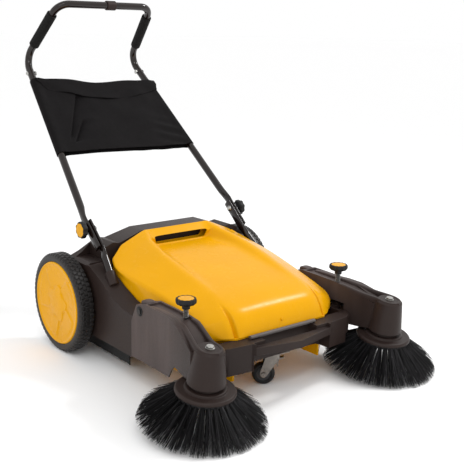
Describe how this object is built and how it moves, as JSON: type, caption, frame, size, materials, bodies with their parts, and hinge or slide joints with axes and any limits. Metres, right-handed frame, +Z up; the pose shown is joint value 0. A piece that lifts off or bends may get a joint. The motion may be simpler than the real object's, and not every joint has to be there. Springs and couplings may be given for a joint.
{
  "type": "manual floor sweeper",
  "caption": "Push-along floor sweeper with a lift-out yellow dirt hopper, a cross roller, side brushes on swinging arms and a folding tube handle with a cloth bag.",
  "frame": {"origin": "on the floor, under the middle of the outline seen from above", "axes": "-Y points to the front, the way the machine is pushed; +X points to the right of the picture, which is called right in the names; +Z points up"},
  "size_m": [0.92, 1.2252, 0.9765],
  "materials": {
    "yellow_plastic": "smooth moulded plastic, slightly glossy",
    "dark_plastic": "moulded plastic with a fine grain",
    "black_rubber": "matt rubber",
    "grey_rubber": "matt grey tyre rubber",
    "bristle": "stiff nylon bristles in tufts",
    "painted_tube": "steel tube, powder coated, glossy",
    "zinc_steel": "bright zinc plated steel",
    "black_foam": "matt foam rubber",
    "black_cloth": "woven nylon cloth",
    "grey_nylon": "machined nylon"
  },
  "bodies": {
    "chassis": {"chassis_shell": "dark_plastic", "front_bumper": "dark_plastic", "caster_plate": "zinc_steel", "rear_skirt": "black_rubber", "stub_axle_left": "zinc_steel", "stub_axle_right": "zinc_steel", "roller_bush_left": "grey_nylon", "roller_bush_right": "grey_nylon", "side_skirt_left": "black_rubber", "side_skirt_right": "black_rubber", "arm_pin_left": "zinc_steel", "arm_pin_right": "zinc_steel", "lower_tube_left": "painted_tube", "lower_tube_right": "painted_tube", "clamp_bolt_left": "zinc_steel", "clamp_bolt_right": "zinc_steel", "drive_belt_left": "black_rubber", "drive_belt_right": "black_rubber"},
    "roller": {"roller_shaft": "zinc_steel", "roller_brush": "bristle", "drive_pulley_left": "grey_nylon", "drive_pulley_right": "grey_nylon"},
    "handle": {"handle_bow": "painted_tube", "bag": "black_cloth", "bar_sleeve": "dark_plastic", "handle_leg_left": "painted_tube", "handle_leg_right": "painted_tube", "grip_left": "black_foam", "grip_right": "black_foam", "bow_bolt_left": "zinc_steel", "bow_bolt_right": "zinc_steel"},
    "hopper": {"hopper_lid": "yellow_plastic", "hopper_tub": "yellow_plastic"},
    "caster": {"caster_fork": "zinc_steel", "caster_axle": "zinc_steel"},
    "caster_wheel": {"caster_wheel": "black_rubber"},
    "brake": {"brake_lever": "zinc_steel"},
    "wheel_left": {"tyre_left": "grey_rubber", "wheel_hub_left": "yellow_plastic"},
    "pinion_left": {"pinion_left": "grey_nylon"},
    "arm_left": {"arm_left": "dark_plastic", "adjuster_spring_left": "zinc_steel"},
    "adjuster_left": {"adjuster_knob_left": "yellow_plastic"},
    "side_brush_left": {"spindle_left": "zinc_steel", "brush_flange_left": "dark_plastic", "bristle_ring_left": "bristle", "brush_pulley_left": "grey_nylon"},
    "clamp_left": {"clamp_knob_left": "yellow_plastic"},
    "wheel_right": {"tyre_right": "grey_rubber", "wheel_hub_right": "yellow_plastic"},
    "pinion_right": {"pinion_right": "grey_nylon"},
    "arm_right": {"arm_right": "dark_plastic", "adjuster_spring_right": "zinc_steel"},
    "adjuster_right": {"adjuster_knob_right": "yellow_plastic"},
    "side_brush_right": {"spindle_right": "zinc_steel", "brush_flange_right": "dark_plastic", "bristle_ring_right": "bristle", "brush_pulley_right": "grey_nylon"},
    "clamp_right": {"clamp_knob_right": "yellow_plastic"}
  },
  "joints": [
    {"name": "wheel_left_spin", "type": "hinge", "parent": "chassis", "child": "wheel_left", "pos_m": [-0.32, 0.17326, 0.1407], "axis": [1, 0, 0], "continuous": true},
    {"name": "pinion_left_spin", "type": "hinge", "parent": "chassis", "child": "pinion_left", "pos_m": [-0.31, 0.13046, 0.09865], "axis": [1, 0, 0], "continuous": true},
    {"name": "arm_left_raise", "type": "hinge", "parent": "chassis", "child": "arm_left", "pos_m": [-0.298, -0.18574, 0.207], "axis": [-1, 0, 0], "range_deg": [0, 4], "deforming": ["drive_belt_left"]},
    {"name": "adjuster_left_turn", "type": "hinge", "parent": "arm_left", "child": "adjuster_left", "pos_m": [-0.2615, -0.33174, 0.259], "axis": [0, 0, 1], "range_deg": [0, 720]},
    {"name": "side_brush_left_spin", "type": "hinge", "parent": "arm_left", "child": "side_brush_left", "pos_m": [-0.3052, -0.47034, 0.10488], "axis": [0, -0.1305, 0.9914], "continuous": true},
    {"name": "clamp_left_turn", "type": "hinge", "parent": "chassis", "child": "clamp_left", "pos_m": [-0.2654, 0.12926, 0.352], "axis": [-1, 0, 0], "range_deg": [0, 720]},
    {"name": "wheel_right_spin", "type": "hinge", "parent": "chassis", "child": "wheel_right", "pos_m": [0.32, 0.17326, 0.1407], "axis": [1, 0, 0], "continuous": true},
    {"name": "pinion_right_spin", "type": "hinge", "parent": "chassis", "child": "pinion_right", "pos_m": [0.31, 0.13046, 0.09865], "axis": [1, 0, 0], "continuous": true},
    {"name": "arm_right_raise", "type": "hinge", "parent": "chassis", "child": "arm_right", "pos_m": [0.298, -0.18574, 0.207], "axis": [-1, 0, 0], "range_deg": [0, 4], "deforming": ["drive_belt_right"]},
    {"name": "adjuster_right_turn", "type": "hinge", "parent": "arm_right", "child": "adjuster_right", "pos_m": [0.2615, -0.33174, 0.259], "axis": [0, 0, 1], "range_deg": [0, 720]},
    {"name": "side_brush_right_spin", "type": "hinge", "parent": "arm_right", "child": "side_brush_right", "pos_m": [0.3052, -0.47034, 0.10488], "axis": [0, -0.1305, 0.9914], "continuous": true},
    {"name": "clamp_right_turn", "type": "hinge", "parent": "chassis", "child": "clamp_right", "pos_m": [0.2654, 0.12926, 0.352], "axis": [1, 0, 0], "range_deg": [0, 720]},
    {"name": "roller_spin", "type": "hinge", "parent": "chassis", "child": "roller", "pos_m": [0, 0.13046, 0.09865], "axis": [1, 0, 0], "continuous": true},
    {"name": "handle_fold", "type": "hinge", "parent": "chassis", "child": "handle", "pos_m": [0, 0.12926, 0.352], "axis": [-1, 0, 0], "range_deg": [-115, 0]},
    {"name": "hopper_lift", "type": "slide", "parent": "chassis", "child": "hopper", "axis": [0, 0, 1], "range_m": [0, 0.35]},
    {"name": "caster_swivel", "type": "hinge", "parent": "chassis", "child": "caster", "pos_m": [0, -0.36774, 0.0906], "axis": [0, 0, 1], "continuous": true},
    {"name": "caster_roll", "type": "hinge", "parent": "caster", "child": "caster_wheel", "pos_m": [-0.02154, -0.34986, 0.03], "axis": [0.6388, 0.7694, 0], "continuous": true},
    {"name": "brake_press", "type": "hinge", "parent": "caster", "child": "brake", "pos_m": [0.00616, -0.37285, 0.072], "axis": [0.6388, 0.7694, 0], "range_deg": [0, 25]}
  ],
  "couplings": [
    {"joint": "pinion_left_spin", "follows": "wheel_left_spin", "ratio": 4},
    {"joint": "pinion_right_spin", "follows": "wheel_right_spin", "ratio": 4},
    {"joint": "side_brush_left_spin", "follows": "wheel_left_spin", "ratio": 2},
    {"joint": "side_brush_right_spin", "follows": "wheel_left_spin", "ratio": -2},
    {"joint": "roller_spin", "follows": "wheel_left_spin", "ratio": 4}
  ]
}
